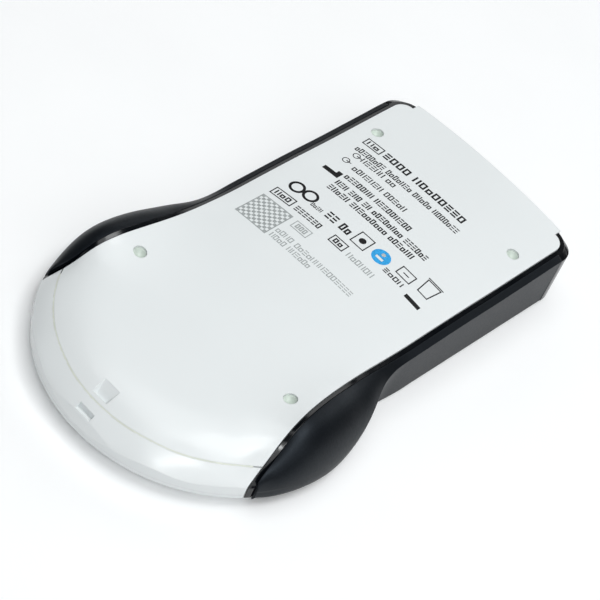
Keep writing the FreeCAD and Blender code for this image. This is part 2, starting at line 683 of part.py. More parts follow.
def transformer(x):
    """Pulse transformer: square core flanges round a winding."""
    y, base = -32.0, BOARD_Z + BOARD_T
    lower = block(x - 4.8, x + 4.8, y - 4.8, y + 4.8, base, base + 1.2)
    upper = block(x - 4.8, x + 4.8, y - 4.8, y + 4.8, base + 3.2, base + 4.2)
    return lower.fuse(upper).fuse(disc(x, y, 1.8, base + 1.0, base + 3.4)).removeSplitter()


def winding(x):
    base = BOARD_Z + BOARD_T
    return disc(x, -32.0, 4.0, base + 1.22, base + 3.18).cut(disc(x, -32.0, 1.82, 0, 30))


def capacitor(x, y):
    """Storage capacitor: a can on a square foot."""
    base = BOARD_Z + BOARD_T
    foot = block(x - 2.6, x + 2.6, y - 2.6, y + 2.6, base, base + 0.8)
    can = disc(x, y, 2.5, base + 0.7, base + 4.4)
    return foot.fuse(can)


def buzzer():
    base = BOARD_Z + BOARD_T
    return disc(0, -47.5, 4.5, base, base + 2.6).cut(disc(0, -47.5, 0.9, base + 1.4, base + 5))


def battery_cell():
    width, length, thick = CELL
    base = BOARD_Z + BOARD_T + FOAM_T
    body = block(-width / 2, width / 2, CELL_Y - length / 2, CELL_Y + length / 2, base, base + thick)
    long_edges = [e for e in body.Edges if e.BoundBox.YLength > length - 1]
    return body.makeFillet(2.2, long_edges)


def battery_foam():
    base = BOARD_Z + BOARD_T
    return block(-18, 18, CELL_Y - 24, CELL_Y + 24, base, base + FOAM_T)


def lead_path(x, lift):
    """Short wire from the cell's end down to its connector."""
    y0 = CELL_Y - CELL[1] / 2 - LEAD_GAP
    z0 = BOARD_Z + BOARD_T + FOAM_T + lift
    z1 = BOARD_Z + BOARD_T + 1.2
    a = Vector(x, y0, z0)
    b = Vector(x, y0 - LEAD_RUN / 2, (z0 + z1) / 2 + 0.5)
    c = Vector(x, y0 - LEAD_RUN, z1)
    return Part.Wire([Part.Arc(a, b, c).toShape()])


def battery_leads():
    wires = []
    for x in (-7.0, -4.5):
        path = lead_path(x, 2.9)
        start = path.Edges[0].valueAt(path.Edges[0].FirstParameter)
        tangent = path.Edges[0].tangentAt(path.Edges[0].FirstParameter)
        section = Part.Wire([Part.makeCircle(LEAD_R, start, tangent)])
        wires.append(path.makePipeShell([section], True, False))
    return Part.makeCompound(wires)


def battery_connector():
    base = BOARD_Z + BOARD_T
    y = CELL_Y - CELL[1] / 2 - LEAD_GAP - LEAD_RUN - 0.45
    return block(-9.0, -2.5, y - 3.6, y, base, base + 2.6)


# ---------------------------------------------------------------- sockets
def socket_face_y():
    return END_EDGE_Y - SOCKET_SINK


def socket_back_y():
    return socket_face_y() - SOCKET_BORE_LEN - SOCKET_BACK


def output_socket(x):
    """Insulated electrode socket: a bore in the narrow end with a contact at its bottom."""
    face_y = socket_face_y()
    back_y = socket_back_y()
    body = bore_y(x, SOCKET_Z, SOCKET_R, back_y, face_y)
    bore = bore_y(x, SOCKET_Z, SOCKET_BORE_R, face_y - SOCKET_BORE_LEN, face_y + 1)
    return body.cut(bore).cut(bore_y(x, SOCKET_Z, CONTACT_R + 0.02, back_y - 1, face_y))


def socket_contact(x):
    """Metal sleeve at the bottom of the bore, with a solder tail to the board."""
    back_y = socket_back_y()
    sleeve = bore_y(x, SOCKET_Z, CONTACT_R, back_y, back_y + SOCKET_BACK)
    sleeve = sleeve.cut(bore_y(x, SOCKET_Z, CONTACT_BORE_R, back_y + 0.5, back_y + SOCKET_BACK + 1))
    tail = block(x - 0.7, x + 0.7, back_y - 0.6, back_y, BOARD_Z + BOARD_T, SOCKET_Z + 0.5)
    return sleeve.fuse(tail)


def dc_socket():
    """Round charging socket with a centre pin."""
    face_y = END_EDGE_Y - 0.4
    body = bore_y(0, SOCKET_Z, DC_R, face_y - 3.0, face_y)
    shell = block(-3.6, 3.6, face_y - 11.0, face_y - 3.0, BOARD_Z + BOARD_T, SOCKET_Z + 3.2)
    body = body.fuse(shell).cut(bore_y(0, SOCKET_Z, DC_BORE_R, face_y - 9.0, face_y + 1))
    return body.fuse(bore_y(0, SOCKET_Z, DC_PIN_R, face_y - 9.5, face_y - 1.0))


# ---------------------------------------------------------------- fasteners and seals
def screw(x, y, seat, length, shank_r, head_r, head_h):
    """Pan-head screw with a hexagonal drive, head up."""
    head = disc(x, y, head_r, seat, seat + head_h)
    top = seat + head_h
    rim = [e for e in head.Edges if abs(e.BoundBox.ZMin - top) < 1e-6 and e.BoundBox.XLength > head_r]
    head = head.makeFillet(0.3, rim)
    corners = []
    for k in range(7):
        turn = math.radians(60 * k)
        corners.append(Vector(x + DRIVE_R * math.cos(turn), y + DRIVE_R * math.sin(turn), top - 0.6))
    drive = Part.Face(Part.makePolygon(corners)).extrude(Vector(0, 0, 2))
    return head.fuse(disc(x, y, shank_r, seat - length, seat + 0.1)).cut(drive)


def housing_screws():
    return Part.makeCompound([screw(x, y, seat, SCREW_LEN, SCREW_R - 0.02, HEAD_SCREW_R, HEAD_SCREW_H)
                              for x, y, seat in well_points()])


def board_screws():
    seat = BOARD_Z + BOARD_T
    return Part.makeCompound([screw(x, y, seat, 3.6, BOARD_SCREW_R, 1.7, 0.9) for x, y in BOARD_SCREWS])


def cover_gasket():
    """Seal between the back cover and the frame's shelf."""
    ring = core_prism(-0.7, 61.5, 0, 30).cut(core_prism(-1.6, 60.6, -1, 31))
    ring = ring.common(layer(COVER_T + 0.01, COVER_T + GASKET_T - 0.01))
    return ring.common(open_head(GROOVE_R - 0.9, 0, 30))


def light_pipe():
    return disc(0, LAMP_Y, PIPE_R, 0.3, BOARD_Z - 0.6)


def charge_lamp():
    return block(-1.0, 1.0, LAMP_Y - 0.6, LAMP_Y + 0.6, BOARD_Z - 0.55, BOARD_Z)


def save(name, shape):
    shape.exportStep("parts/" + name + ".step")


def main():
    os.makedirs("parts", exist_ok=True)
    save("back_cover", back_cover())
    save("head_end_cover", head_end_cover())
    save("housing_frame", housing_frame())
    save("left_grip", grip(-1))
    save("right_grip", grip(1))
    save("front_shell", front_shell())
    save("display_window", display_window())
    save("lcd_glass", lcd_glass())
    save("lcd_holder", lcd_holder())
    save("lcd_connector", lcd_connector())
    for name, x, y, r in KEYS:
        save(name, key(x, y, r))
    save("switch_domes", Part.makeCompound([dome(x, y) for name, x, y, r in KEYS]))
    save("dome_spacer", dome_spacer())
    save("main_board", main_board())
    save("controller_chip", board_parts([(0, -27.0, 9.0, 9.0, 1.4)])[0])
    small = ((-13, -44, 5, 4, 1.4), (13, -44, 5, 4, 1.4), (9, -17, 4, 4, 1.2), (0, 49.5, 6, 5, 1.2),
             (-9, 50.5, 3, 2, 0.8), (9, 50.5, 3, 2, 0.8), (0, -38.5, 3, 2, 0.8), (5, -40.0, 2, 1.2, 0.6))
    save("board_chips", Part.makeCompound(board_parts(small)))
    for name, x in (("left", -13.0), ("right", 13.0)):
        save(name + "_transformer", transformer(x))
        save(name + "_winding", winding(x))
    save("storage_capacitors", Part.makeCompound([capacitor(-20.5, -20.5), capacitor(20.5, -20.5)]))
    save("buzzer", buzzer())
    save("battery_cell", battery_cell())
    save("battery_foam", battery_foam())
    save("battery_leads", battery_leads())
    save("battery_connector", battery_connector())
    for name, x in (("left", -SOCKET_X), ("right", SOCKET_X)):
        save(name + "_output_socket", output_socket(x))
        save(name + "_socket_contact", socket_contact(x))
    save("dc_socket", dc_socket())
    save("housing_screws", housing_screws())
    save("board_screws", board_screws())
    save("cover_gasket", cover_gasket())
    save("light_pipe", light_pipe())
    save("charge_lamp", charge_lamp())


main()
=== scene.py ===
import json
import math
import random

import bmesh
import bpy
from mathutils import Matrix, Vector
from mathutils.bvhtree import BVHTree


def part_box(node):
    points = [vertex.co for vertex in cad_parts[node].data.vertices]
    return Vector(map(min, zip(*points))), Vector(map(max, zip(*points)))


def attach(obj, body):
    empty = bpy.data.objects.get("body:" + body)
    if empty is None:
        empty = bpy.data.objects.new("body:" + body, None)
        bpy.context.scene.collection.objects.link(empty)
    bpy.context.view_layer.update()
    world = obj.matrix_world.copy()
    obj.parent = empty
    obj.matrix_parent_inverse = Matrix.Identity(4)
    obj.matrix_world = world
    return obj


# Looks of the hand-held two-channel nerve stimulator (tens unit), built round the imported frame.
# Metres, in the frame of the CAD: it lies on its front, +Y towards the narrow end, +Z up.

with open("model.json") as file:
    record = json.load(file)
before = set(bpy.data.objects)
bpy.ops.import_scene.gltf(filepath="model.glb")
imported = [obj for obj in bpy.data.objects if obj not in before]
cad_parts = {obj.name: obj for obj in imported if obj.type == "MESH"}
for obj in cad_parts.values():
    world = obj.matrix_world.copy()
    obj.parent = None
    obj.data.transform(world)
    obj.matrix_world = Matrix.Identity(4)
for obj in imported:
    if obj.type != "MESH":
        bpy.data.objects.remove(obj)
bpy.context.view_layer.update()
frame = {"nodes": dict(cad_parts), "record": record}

MM = 0.001


def add_object(name, data):
    """A new object in the scene for a mesh, a light or a camera."""
    thing = bpy.data.objects.new(name, data)
    bpy.context.scene.collection.objects.link(thing)
    return thing


def solid_mesh(name, shape, finish):
    """The finished mesh of a closed bmesh, with its faces turned outwards."""
    bmesh.ops.recalc_face_normals(shape, faces=shape.faces)
    mesh = bpy.data.meshes.new(name)
    shape.to_mesh(mesh)
    shape.free()
    mesh.materials.append(finish)
    return mesh


# ---------------------------------------------------------------- materials

TINT_FROM, TINT_TO = 0.35, 0.65       # stretch of the noise over which a colour drifts
ROUGH_FROM, ROUGH_TO = 0.3, 0.7       # and over which the roughness drifts
EDGE_SAMPLES = 6


def new_material(name, colour, roughness):
    """An empty node material with one Principled shader."""
    mat = bpy.data.materials.new(name)
    mat.use_nodes = True
    nodes = mat.node_tree.nodes
    nodes.clear()
    output = nodes.new("ShaderNodeOutputMaterial")
    shader = nodes.new("ShaderNodeBsdfPrincipled")
    mat.node_tree.links.new(shader.outputs["BSDF"], output.inputs["Surface"])
    shader.inputs["Base Color"].default_value = (*colour, 1.0)
    shader.inputs["Roughness"].default_value = roughness
    return mat, shader


def noise(mat, scale, detail=3.0):
    """Noise over the object's own coordinates, scale in cells per metre."""
    nodes = mat.node_tree.nodes
    place = nodes.new("ShaderNodeTexCoord")
    texture = nodes.new("ShaderNodeTexNoise")
    texture.inputs["Scale"].default_value = scale
    texture.inputs["Detail"].default_value = detail
    mat.node_tree.links.new(place.outputs["Object"], texture.inputs["Vector"])
    return texture.outputs["Fac"]


def vary_colour(mat, shader, scale, low, high):
    """Lets the base colour drift between two tints."""
    ramp = mat.node_tree.nodes.new("ShaderNodeValToRGB")
    for stop, position, tint in zip(ramp.color_ramp.elements, (TINT_FROM, TINT_TO), (low, high)):
        stop.position = position
        stop.color = (*tint, 1.0)
    mat.node_tree.links.new(noise(mat, scale), ramp.inputs["Fac"])
    mat.node_tree.links.new(ramp.outputs["Color"], shader.inputs["Base Color"])


def vary_roughness(mat, shader, scale, low, high):
    """Lets the roughness drift, as handled plastic does."""
    span = mat.node_tree.nodes.new("ShaderNodeMapRange")
    span.inputs["From Min"].default_value = ROUGH_FROM
    span.inputs["From Max"].default_value = ROUGH_TO
    span.inputs["To Min"].default_value = low
    span.inputs["To Max"].default_value = high
    mat.node_tree.links.new(noise(mat, scale), span.inputs["Value"])
    mat.node_tree.links.new(span.outputs["Result"], shader.inputs["Roughness"])


def surface(mat, shader, grain, edge=None):
    """Grain as bumps, each (cells per metre, depth in metres), over softened edges."""
    nodes = mat.node_tree.nodes
    links = mat.node_tree.links
    normal = None
    if edge:
        soft = nodes.new("ShaderNodeBevel")
        soft.samples = EDGE_SAMPLES
        soft.inputs["Radius"].default_value = edge
        normal = soft.outputs["Normal"]
    for scale, depth in grain:
        bump = nodes.new("ShaderNodeBump")
        bump.inputs["Strength"].default_value = 1.0
        bump.inputs["Distance"].default_value = depth
        links.new(noise(mat, scale, 2.0), bump.inputs["Height"])
        if normal:
            links.new(normal, bump.inputs["Normal"])
        normal = bump.outputs["Normal"]
    links.new(normal, shader.inputs["Normal"])


def white_plastic():
    """Cool off-white gloss of the covers."""
    mat, shader = new_material("white_plastic", (0.82, 0.85, 0.855), 0.23)
    vary_colour(mat, shader, 45.0, (0.815, 0.845, 0.85), (0.825, 0.855, 0.86))
    vary_roughness(mat, shader, 160.0, 0.21, 0.25)
    surface(mat, shader, grain=((900.0, 2.0e-6),), edge=0.25 * MM)
    shader.inputs["IOR"].default_value = 1.45
    return mat


def black_gloss():
    """Polished black of the frame and its ledge."""
    mat, shader = new_material("black_gloss", (0.002, 0.003, 0.004), 0.16)
    vary_colour(mat, shader, 70.0, (0.0015, 0.0022, 0.0035), (0.0025, 0.0035, 0.005))
    vary_roughness(mat, shader, 300.0, 0.13, 0.20)
    surface(mat, shader, grain=((1500.0, 1.5e-6),), edge=0.2 * MM)
    shader.inputs["IOR"].default_value = 1.52
    return mat


def black_satin():
    """Fine spark-eroded black of the grips, with a cool sheen."""
    mat, shader = new_material("black_satin", (0.003, 0.004, 0.0055), 0.45)
    vary_colour(mat, shader, 2600.0, (0.002, 0.003, 0.004), (0.005, 0.006, 0.008))
    vary_roughness(mat, shader, 2000.0, 0.41, 0.46)
    surface(mat, shader, grain=((3200.0, 9.0e-6), (7000.0, 6.0e-6)), edge=0.25 * MM)
    shader.inputs["IOR"].default_value = 1.34
    shader.inputs["Specular Tint"].default_value = (0.74, 0.86, 1.0, 1.0)
    return mat


def window_glass():
    """Smoke-tinted clear plastic of the display window."""
    mat, shader = new_material("window_glass", (0.10, 0.12, 0.13), 0.05)
    vary_roughness(mat, shader, 120.0, 0.03, 0.07)
    surface(mat, shader, grain=((500.0, 1.0e-6),))
    shader.inputs["Transmission Weight"].default_value = 0.75
    shader.inputs["IOR"].default_value = 1.49
    return mat


def lcd_glass():
    """Grey-green face of the unlit display."""
    mat, shader = new_material("lcd_glass", (0.30, 0.34, 0.27), 0.30)
    vary_colour(mat, shader, 2500.0, (0.28, 0.32, 0.25), (0.32, 0.36, 0.29))
    vary_roughness(mat, shader, 300.0, 0.24, 0.34)
    return mat


def moulded(name, colour, roughness, spread=0.12):
    """Plain moulded plastic or rubber with a fine grain."""
    mat, shader = new_material(name, colour, roughness)
    low = tuple(c * (1.0 - spread) for c in colour)
    high = tuple(min(c * (1.0 + spread), 1.0) for c in colour)
    vary_colour(mat, shader, 900.0, low, high)
    vary_roughness(mat, shader, 500.0, max(roughness - 0.06, 0.04), roughness + 0.06)
    surface(mat, shader, grain=((2500.0, 3.0e-6),), edge=0.15 * MM)
    return mat


def metal(name, colour, roughness):
    """Bare metal with a fine variation in tint and polish."""
    mat, shader = new_material(name, colour, roughness)
    shader.inputs["Metallic"].default_value = 1.0
    low = tuple(c * 0.9 for c in colour)
    vary_colour(mat, shader, 1800.0, low, colour)
    vary_roughness(mat, shader, 900.0, roughness * 0.8, roughness * 1.3)
    surface(mat, shader, grain=((4000.0, 2.0e-6),), edge=0.08 * MM)
    return mat


def ink(name, colour):
    """Screen-printed ink: nearly flat, a little uneven in its cover."""
    mat, shader = new_material(name, colour, 0.45)
    low = tuple(c * 0.85 for c in colour)
    high = tuple(min(c * 1.15, 1.0) for c in colour)
    vary_colour(mat, shader, 2200.0, low, high)
    vary_roughness(mat, shader, 1500.0, 0.50, 0.62)
    surface(mat, shader, grain=((6000.0, 2.0e-6),))
    shader.inputs["Specular IOR Level"].default_value = 0.25
    return mat


# The record's material slots, then the finishes that only pieces made here wear.
FINISHES = {
    "white_plastic": white_plastic(),
    "black_gloss": black_gloss(),
    "black_satin": black_satin(),
    "window_glass": window_glass(),
    "lcd_glass": lcd_glass(),
    "clear_plastic": moulded("clear_plastic", (0.62, 0.66, 0.66), 0.2),
    "seal_rubber": moulded("seal_rubber", (0.02, 0.02, 0.02), 0.7),
    "steel": metal("steel", (0.56, 0.57, 0.57), 0.3),
    "film": moulded("film", (0.55, 0.40, 0.16), 0.35),
    "board_green": moulded("board_green", (0.02, 0.14, 0.06), 0.35),
    "chip_black": moulded("chip_black", (0.02, 0.02, 0.022), 0.5),
    "ferrite": moulded("ferrite", (0.05, 0.05, 0.052), 0.6),
    "copper": metal("copper", (0.72, 0.38, 0.22), 0.35),
    "capacitor_can": metal("capacitor_can", (0.62, 0.63, 0.65), 0.35),
    "cell_foil": metal("cell_foil", (0.60, 0.61, 0.63), 0.42),
    "foam": moulded("foam", (0.08, 0.08, 0.085), 0.9),
    "wire_red": moulded("wire_red", (0.45, 0.03, 0.02), 0.4),
    "connector_white": moulded("connector_white", (0.72, 0.71, 0.66), 0.4),
    "contact_metal": metal("contact_metal", (0.70, 0.62, 0.40), 0.3),
    "key_grey": moulded("key_grey", (0.16, 0.17, 0.18), 0.42),
    "lamp_green": moulded("lamp_green", (0.10, 0.45, 0.14), 0.25),
    # the plugs' white plastic, darkened and tinted green below the covers' white: painted shade of the screw
    # wells
    "plug_white_painted_shade": moulded("plug_white_painted_shade", (0.60, 0.67, 0.61), 0.30, 0.03),
    # painted shade: the groove strip's pale grey-green stands for the groove's shadow line
    "groove_painted_shade": moulded("groove_painted_shade", (0.74, 0.77, 0.69), 0.40, 0.03),
    "ink_black": ink("ink_black", (0.006, 0.006, 0.007)),
    "ink_grey": ink("ink_grey", (0.36, 0.385, 0.385)),
    "ink_blue": ink("ink_blue", (0.03, 0.36, 0.76)),
    "ink_white": ink("ink_white", (0.75, 0.77, 0.78)),
}


def finish_frame():
    """Gives every CAD node the finish of its material slot."""
    slots = {part["node"]: part["material_slot"] for part in frame["record"]["subparts"]}
    for name, node in frame["nodes"].items():
        node.data.materials.clear()
        node.data.materials.append(FINISHES[slots[name]])


# ---------------------------------------------------------------- sheets of thin slabs

SLAB_RISE = 0.02 * MM     # ink, or the groove's strip of painted shade, above the height that it follows
SLAB_FOOT = 0.03 * MM     # and its foot below that height
LONG_STROKE = 3 * MM      # a longer stroke is cut up, so that it follows the surface
RING_STEPS = 28
RAY_START = 50 * MM       # rays towards the cover start well above it


def cover_heights():
    """A function that gives the height of the back cover over a point of the plan."""
    mesh = frame["nodes"]["back_cover"].data
    points = [vertex.co for vertex in mesh.vertices]
    tree = BVHTree.FromPolygons(points, [tuple(face.vertices) for face in mesh.polygons])

    def height(x, y):
        hit = tree.ray_cast(Vector((x, y, RAY_START)), Vector((0, 0, -1)))[0]
        return hit.z

    return height


class Sheet:
    """Collects strokes of one finish and turns them into a mesh of thin slabs."""

    def __init__(self, height, facing=1):
        self.height = height
        self.facing = facing
        self.mesh = bmesh.new()

    def patch(self, outline):
        """A thin slab over a convex outline in the plan."""
        rings = []
        for rise in (SLAB_RISE, -SLAB_FOOT):
            ring = []
            for x, y in outline:
                ring.append(self.mesh.verts.new((x, y, self.height(x, y) + self.facing * rise)))
            rings.append(ring)
        top, bottom = rings
        self.mesh.faces.new(top)
        self.mesh.faces.new(list(reversed(bottom)))
        count = len(outline)
        for k in range(count):
            nxt = (k + 1) % count
            self.mesh.faces.new((top[nxt], top[k], bottom[k], bottom[nxt]))

    def stroke(self, start, end, width):
        """A straight stroke, in short pieces where it is long."""
        start = Vector(start)
        end = Vector(end)
        run = end - start
        across = Vector((-run.y, run.x)).normalized() * (width / 2)
        pieces = max(1, math.ceil(run.length / LONG_STROKE))
        for k in range(pieces):
            a = start + run * (k / pieces)
            b = start + run * ((k + 1) / pieces)
            self.patch([a - across, b - across, b + across, a + across])

    def outline(self, corners, width):
        """Closed line through the corners, with its strokes meeting at the corners."""
        for a, b in zip(corners, corners[1:] + corners[:1]):
            run = (Vector(b) - Vector(a)).normalized() * (width / 2)
            self.stroke(Vector(a) - run, Vector(b) + run, width)

    def arc(self, centre, radius, width, start=0.0, turn=360.0, steps=RING_STEPS):
        """Part of a ring, angles in degrees."""
        inner = radius - width / 2
        outer = radius + width / 2
        for k in range(steps):
            a = math.radians(start + turn * k / steps)
            b = math.radians(start + turn * (k + 1) / steps)
            corners = ((inner, a), (outer, a), (outer, b), (inner, b))
            self.patch([(centre[0] + r * math.cos(t), centre[1] + r * math.sin(t)) for r, t in corners])

    def disc(self, centre, radius, rings, steps=RING_STEPS):
        """A filled disc in rings, so that it follows the surface."""
        width = radius / (rings + 0.5)
        middle = []
        for k in range(steps):
            turn = 2 * math.pi * k / steps
            middle.append((centre[0] + width / 2 * math.cos(turn), centre[1] + width / 2 * math.sin(turn)))
        self.patch(middle)
        for k in range(rings):
            self.arc(centre, width * (k + 1), width, steps=steps)

    def piece(self, name, body, finish):
        """Adds the finished object, riding on its body."""
        thing = add_object(name, solid_mesh(name, self.mesh, finish))
        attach(thing, body)


# ---------------------------------------------------------------- printing
# Plain stand-ins take the place of all wording and symbols: rows of small marks, boxes, rings and
# bars that stand for nothing. Each mark is a thin slab of ink that follows the surface.

PRINT_TILT = 0.026        # the printed block stands a little askew on the cover, in radians
STROKE = 0.30 * MM
BOLD = 0.50 * MM
MARK_SHARE = 0.80         # width of a mark against the pitch of its row
GROUP_GAP = 0.6           # space between groups of marks, against the same pitch
LOW_SHARE = 0.68          # height of a low mark against a tall one

# Rows in millimetres: left end, right end, place up the cover, height of the marks; then the
# number of marks in each group, and the width of their lines.
BLACK_ROWS = (
    (-16.4, 10.2, 45.5, 2.3, (4, 8), BOLD),
    (-22.1, 11.5, 41.3, 1.85, (8, 7, 5, 7), STROKE),
    (-18.2, -7.1, 38.8, 1.85, (5, 2), STROKE),
    (-17.4, -0.1, 34.8, 1.85, (7, 5), STROKE),
    (-16.4, 4.9, 31.0, 1.9, (7, 9), STROKE * 1.15),
    (-16.2, 13.5, 27.6, 1.9, (3, 3, 2, 8, 6), STROKE * 1.15),
    (-16.2, 11.4, 24.8, 1.9, (5, 9, 6), STROKE * 1.15),
)
GREY_ROWS = (
    (-12.5, 11.6, 3.1, 1.6, (4, 14), STROKE * 0.8),
    (-12.3, 0.3, 0.7, 1.6, (4, 6), STROKE * 0.8),
    (2.1, 10.4, 11.8, 1.8, (6,), STROKE * 0.9),
)


class Tilted:
    """Local axes of one printed item: x along its row, y up, in millimetres from its centre."""

    def __init__(self, x, y, tilt=PRINT_TILT):
        self.x = x
        self.y = y
        self.turn = Matrix.Rotation(tilt, 2)

    def __call__(self, x, y):
        place = self.turn @ Vector((x, y))
        return Vector((self.x + place.x, self.y + place.y)) * MM


def box_corners(at, half_x, half_y, x=0.0, y=0.0):
    return [at(x - half_x, y - half_y), at(x + half_x, y - half_y), at(x + half_x, y + half_y),
            at(x - half_x, y + half_y)]


def mark(sheet, at, x, width, tall, line, kind):
    """One meaningless mark of a row, between x and x + width."""
    half_line = line / MM / 2
    half = tall / 2
    high = half - half_line
    middle = x + width / 2
    inside = width / 2 - half_line
    if kind == "frame":
        sheet.outline(box_corners(at, inside, high, middle), line)
    elif kind == "low_frame":
        sheet.outline(box_corners(at, inside, high * LOW_SHARE, middle, -high * (1 - LOW_SHARE)), line)
    elif kind == "uprights":
        for side in (-1, 1):
            sheet.stroke(at(middle + side * inside, -half), at(middle + side * inside, half), line)
    else:
        for level in (-high, 0.0, high):
            sheet.stroke(at(x, level), at(x + width, level), line)


def row(sheet, dice, x0, x1, y, tall, groups, line):
    """A row of marks in groups, like a line of small print."""
    at = Tilted((x0 + x1) / 2, y)
    pitch = (x1 - x0) / (sum(groups) + GROUP_GAP * (len(groups) - 1))
    x = -(x1 - x0) / 2
    for count in groups:
        for _ in range(count):
            kind = dice.choice(("frame", "low_frame", "uprights", "levels"))
            mark(sheet, at, x, pitch * MARK_SHARE, tall, line, kind)
            x += pitch
        x += pitch * GROUP_GAP


def boxed_row(sheet, dice, x0, x1, y0, y1, count, line):
    """An outlined box with a short row of marks in it."""
    x = (x0 + x1) / 2
    y = (y0 + y1) / 2
    sheet.outline(box_corners(Tilted(x, y), (x1 - x0) / 2, (y1 - y0) / 2), line)
    row(sheet, dice, x0 + 0.75, x1 - 0.6, y, (y1 - y0) * 0.6, (count,), line * 1.3)


def tailed_rings(sheet):
    """Two small rings, each with a short tail, before the rows."""
    for x, y in ((-19.9, 38.5), (-20.3, 35.1)):
        at = Tilted(x, y)
        sheet.arc(at(0, 0), 0.9 * MM, STROKE * 0.8)
        sheet.stroke(at(0.1, 0), at(1.6, 0), STROKE)


def bold_rings(sheet):
    """Two bold rings side by side."""
    for k in range(2):
        sheet.arc(Tilted(-19.9 + 4.0 * k, 17.3 + 0.4 * k)(0, 0), 1.75 * MM, 0.7 * MM)


def framed_dot(sheet):
    at = Tilted(1.2, 17.9)
    sheet.outline(box_corners(at, 2.0, 2.35), STROKE)
    sheet.disc(at(0, 0), 0.95 * MM, 2)


def framed_bar(sheet):
    at = Tilted(14.0, 19.8)
    sheet.outline(box_corners(at, 2.1, 1.5), STROKE)
    sheet.stroke(at(-0.9, 0), at(0.9, 0), STROKE)


def tapered_box(sheet):
    """A box that narrows downwards, with a bar over it."""
    at = Tilted(19.9, 21.6)
    sheet.outline([at(-1.5, -2.4), at(1.5, -2.4), at(2.0, 2.4), at(-2.0, 2.4)], STROKE)
    sheet.stroke(at(-2.4, 2.9), at(2.4, 2.9), STROKE)


def bold_bars(sheet):
    """A bold bar at the right, and at the left another with a shorter one on it."""
    at = Tilted(20.2, 15.4)
    sheet.stroke(at(-2.3, 0), at(2.3, 0), 1.2 * MM)
    at = Tilted(-19.4, 29.3)
    sheet.stroke(at(-2.4, -0.6), at(2.4, -0.6), 1.4 * MM)
    sheet.stroke(at(1.0, 0.6), at(2.4, 0.6), 1.2 * MM)


def print_black(height, dice):
    """The black printing of the back: rows, boxes and plain signs."""
    sheet = Sheet(height)
    boxed_row(sheet, dice, -22.6, -17.4, 43.7, 46.2, 2, STROKE)
    for place in BLACK_ROWS:
        row(sheet, dice, *place)
    tailed_rings(sheet)
    bold_rings(sheet)
    row(sheet, dice, -14.0, -10.6, 16.1, 1.3, (4,), STROKE * 0.7)
    boxed_row(sheet, dice, -22.5, -16.4, 10.7, 13.4, 3, STROKE)
    row(sheet, dice, -15.2, -7.0, 11.9, 1.85, (6,), STROKE * 1.15)
    row(sheet, dice, -9.6, -1.8, 17.0, 2.6, (2, 2), BOLD)
    framed_dot(sheet)
    boxed_row(sheet, dice, -3.56, 0.69, 10.83, 13.49, 2, STROKE)
    framed_bar(sheet)
    row(sheet, dice, 9.9, 16.1, 16.4, 1.5, (4,), STROKE)
    tapered_box(sheet)
    bold_bars(sheet)
    sheet.piece("print_black", "housing", FINISHES["ink_black"])


CHEQUER_CELLS = 11
CHEQUER_SIDE = 9.4        # millimetres


def chequered_square(sheet):
    """A plain regular chequer in a thin frame."""
    at = Tilted(-18.0, 4.1, 0.0)
    cell = CHEQUER_SIDE / CHEQUER_CELLS
    for i in range(CHEQUER_CELLS):
        for j in range(CHEQUER_CELLS):
            if (i + j) % 2 == 0:
                x = (i - CHEQUER_CELLS / 2) * cell
                y = (j - CHEQUER_CELLS / 2) * cell + cell / 2
                sheet.stroke(at(x, y), at(x + cell, y), cell * MM)
    sheet.outline(box_corners(at, CHEQUER_SIDE / 2, CHEQUER_SIDE / 2), STROKE)


def print_grey(height, dice):
    """The grey printing near the middle: a chequered square, a box and faint rows."""
    sheet = Sheet(height)
    chequered_square(sheet)
    boxed_row(sheet, dice, -11.6, -6.9, 6.3, 8.9, 3, STROKE * 0.8)
    for place in GREY_ROWS:
        row(sheet, dice, *place)
    sheet.piece("print_grey", "housing", FINISHES["ink_grey"])


BLUE_R = 2.45 * MM
OVER_BLUE = 0.015 * MM    # the light marks stand this much above the blue ink


def print_blue(height):
    """A blue disc with a plain light bar and dot in it."""
    centre = Tilted(7.0, 18.3)
    sheet = Sheet(height)
    sheet.disc(centre(0, 0), BLUE_R, 6, 40)
    sheet.piece("print_blue", "housing", FINISHES["ink_blue"])
    light = Sheet(lambda x, y: height(x, y) + OVER_BLUE)
    light.stroke(centre(-1.1, -0.7), centre(1.1, -0.7), 0.8 * MM)
    light.disc(centre(0, 0.95), 0.55 * MM, 2)
    light.piece("print_blue_marks", "housing", FINISHES["white_plastic"])


# ---------------------------------------------------------------- screw wells and groove

WELLS = {"head": (24.4, -29.3), "end": (23.1, 49.7)}   # places of the screw wells, in millimetres
WELL_RIM = 2.0 * MM       # the cover's height is taken this far from a well's centre
PLUG_R = 1.54 * MM
PLUG_EDGE = 0.45 * MM     # depth of the dish at its edge
PLUG_DISH = 1.00 * MM     # and how much deeper it is in the middle
PLUG_T = 0.70 * MM
PLUG_RINGS = 8
PLUG_STEPS = 40


def local_plane(height, x, y, reach):
    """Height of the cover over a round hole, carried across it from the rim."""
    east = height(x + reach, y)
    west = height(x - reach, y)
    north = height(x, y + reach)
    south = height(x, y - reach)
    middle = (east + west + north + south) / 4

    def plane(px, py):
        return middle + (px - x) * (east - west) / (2 * reach) + (py - y) * (north - south) / (2 * reach)

    return plane


